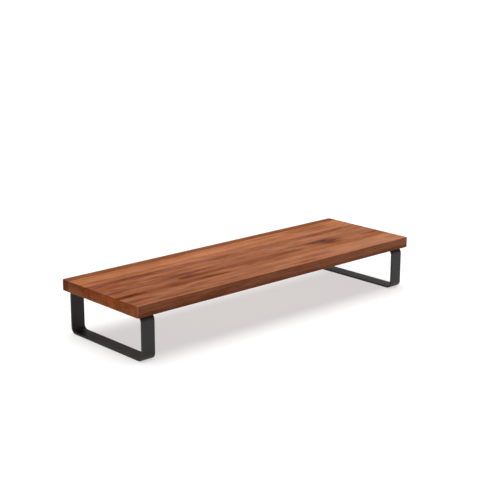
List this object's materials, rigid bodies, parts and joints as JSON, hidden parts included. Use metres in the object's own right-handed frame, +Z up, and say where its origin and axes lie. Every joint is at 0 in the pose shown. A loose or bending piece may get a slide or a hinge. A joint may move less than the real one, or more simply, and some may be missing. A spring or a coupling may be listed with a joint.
{
  "type": "monitor riser stand",
  "caption": "Wooden shelf of edge-glued staves on bent flat-bar steel legs, which lifts a monitor above a desk and leaves room below.",
  "frame": {"origin": "centre of the footprint, on the floor under the pads", "axes": "+X along the shelf to its right end, +Y from its front edge to its back edge, +Z up"},
  "size_m": [1, 0.32, 0.15],
  "materials": {
    "hardwood_light": "oiled, satin, straight grain along the shelf",
    "hardwood_dark": "oiled, satin, darker heartwood with knots and dark streaks",
    "black_powder_coat": "satin black powder coat over steel flat bar",
    "black_oxide_steel": "black oxide",
    "insert_brass": "machined",
    "pad_rubber": "matte, fine texture"
  },
  "bodies": {
    "root": {"stave_rear_edge": "hardwood_dark", "stave_rear": "hardwood_light", "stave_middle": "hardwood_dark", "stave_knotted": "hardwood_dark", "stave_front": "hardwood_light", "leg_left": "black_powder_coat", "leg_right": "black_powder_coat", "inserts_front_left": "insert_brass", "inserts_front_right": "insert_brass", "inserts_rear_left": "insert_brass", "inserts_rear_right": "insert_brass", "washers_front_left": "black_oxide_steel", "washers_front_right": "black_oxide_steel", "washers_rear_left": "black_oxide_steel", "washers_rear_right": "black_oxide_steel", "bolts_front_left": "black_oxide_steel", "bolts_front_right": "black_oxide_steel", "bolts_rear_left": "black_oxide_steel", "bolts_rear_right": "black_oxide_steel", "pad_front_left": "pad_rubber", "pad_front_right": "pad_rubber", "pad_rear_left": "pad_rubber", "pad_rear_right": "pad_rubber"}
  },
  "joints": []
}
